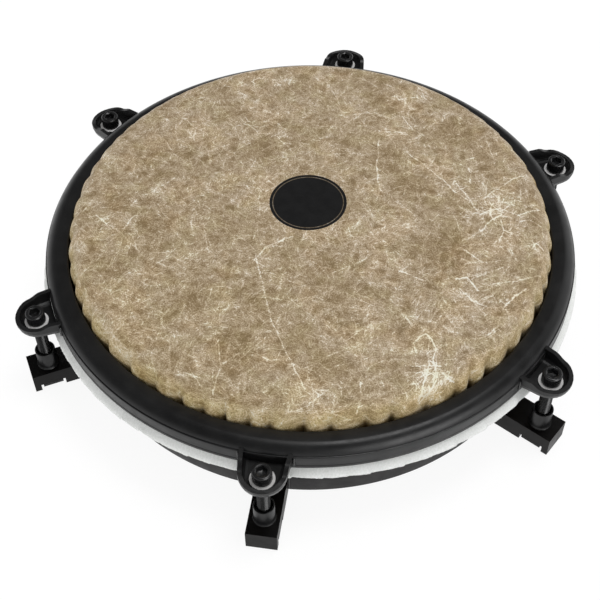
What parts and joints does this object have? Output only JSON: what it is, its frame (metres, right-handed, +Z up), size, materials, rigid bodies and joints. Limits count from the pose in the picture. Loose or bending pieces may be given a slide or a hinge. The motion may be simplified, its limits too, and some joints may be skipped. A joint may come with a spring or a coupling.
{
  "type": "conga",
  "caption": "Shallow conga with a flat film head, a rounded counterhoop pulled down by hex-socket tension bolts, and foot bars round a low steel ring.",
  "frame": {"origin": "on the drum's centre line, in the plane of the foot bars' underside", "axes": "+Z up, out of the playing surface; -Y through lug 1, the lug nearest the viewer; the other lugs follow counter-clockwise as seen from above"},
  "size_m": [0.349, 0.3904, 0.0833],
  "materials": {
    "black_steel": "satin black powder coat on steel",
    "grey_steel": "dark grey powder coat on the steel ring",
    "film": "mottled tan film with pale fibres, satin",
    "aluminium": "plain, hidden in the fold of the film",
    "nylon": "white nylon",
    "rubber": "black rubber"
  },
  "bodies": {
    "base": {"shell_ring": "grey_steel", "head_film": "film", "flesh_hoop": "aluminium", "lug_sleeve_1": "black_steel", "lug_sleeve_2": "black_steel", "lug_sleeve_3": "black_steel", "lug_sleeve_4": "black_steel", "lug_sleeve_5": "black_steel", "lug_sleeve_6": "black_steel", "foot_bar_1": "black_steel", "foot_bar_2": "black_steel", "foot_bar_3": "black_steel", "foot_bar_4": "black_steel", "foot_bar_5": "black_steel", "foot_bar_6": "black_steel", "rubber_pad_1": "rubber", "rubber_pad_2": "rubber", "rubber_pad_3": "rubber", "rubber_pad_4": "rubber", "rubber_pad_5": "rubber", "rubber_pad_6": "rubber"},
    "rim": {"counterhoop": "black_steel", "ear_1": "black_steel", "ear_2": "black_steel", "ear_3": "black_steel", "ear_4": "black_steel", "ear_5": "black_steel", "ear_6": "black_steel", "nylon_washer_1": "nylon", "nylon_washer_2": "nylon", "nylon_washer_3": "nylon", "nylon_washer_4": "nylon", "nylon_washer_5": "nylon", "nylon_washer_6": "nylon"},
    "bolt_1": {"tension_bolt_1": "black_steel"},
    "bolt_2": {"tension_bolt_2": "black_steel"},
    "bolt_3": {"tension_bolt_3": "black_steel"},
    "bolt_4": {"tension_bolt_4": "black_steel"},
    "bolt_5": {"tension_bolt_5": "black_steel"},
    "bolt_6": {"tension_bolt_6": "black_steel"}
  },
  "joints": [
    {"name": "rim_lift", "type": "slide", "parent": "base", "child": "rim", "axis": [0, 0, 1], "range_m": [0, 0.0127]},
    {"name": "bolt_1_turn", "type": "hinge", "parent": "rim", "child": "bolt_1", "pos_m": [0, -0.1824, 0.03], "axis": [0, 0, 1], "range_deg": [0, 3241]},
    {"name": "bolt_2_turn", "type": "hinge", "parent": "rim", "child": "bolt_2", "pos_m": [0.15796, -0.0912, 0.03], "axis": [0, 0, 1], "range_deg": [0, 3241]},
    {"name": "bolt_3_turn", "type": "hinge", "parent": "rim", "child": "bolt_3", "pos_m": [0.15796, 0.0912, 0.03], "axis": [0, 0, 1], "range_deg": [0, 3241]},
    {"name": "bolt_4_turn", "type": "hinge", "parent": "rim", "child": "bolt_4", "pos_m": [0, 0.1824, 0.03], "axis": [0, 0, 1], "range_deg": [0, 3241]},
    {"name": "bolt_5_turn", "type": "hinge", "parent": "rim", "child": "bolt_5", "pos_m": [-0.15796, 0.0912, 0.03], "axis": [0, 0, 1], "range_deg": [0, 3241]},
    {"name": "bolt_6_turn", "type": "hinge", "parent": "rim", "child": "bolt_6", "pos_m": [-0.15796, -0.0912, 0.03], "axis": [0, 0, 1], "range_deg": [0, 3241]}
  ],
  "couplings": [
    {"joint": "bolt_1_turn", "follows": "rim_lift", "rad_per_m": 4452.7},
    {"joint": "bolt_2_turn", "follows": "rim_lift", "rad_per_m": 4452.7},
    {"joint": "bolt_3_turn", "follows": "rim_lift", "rad_per_m": 4452.7},
    {"joint": "bolt_4_turn", "follows": "rim_lift", "rad_per_m": 4452.7},
    {"joint": "bolt_5_turn", "follows": "rim_lift", "rad_per_m": 4452.7},
    {"joint": "bolt_6_turn", "follows": "rim_lift", "rad_per_m": 4452.7}
  ]
}
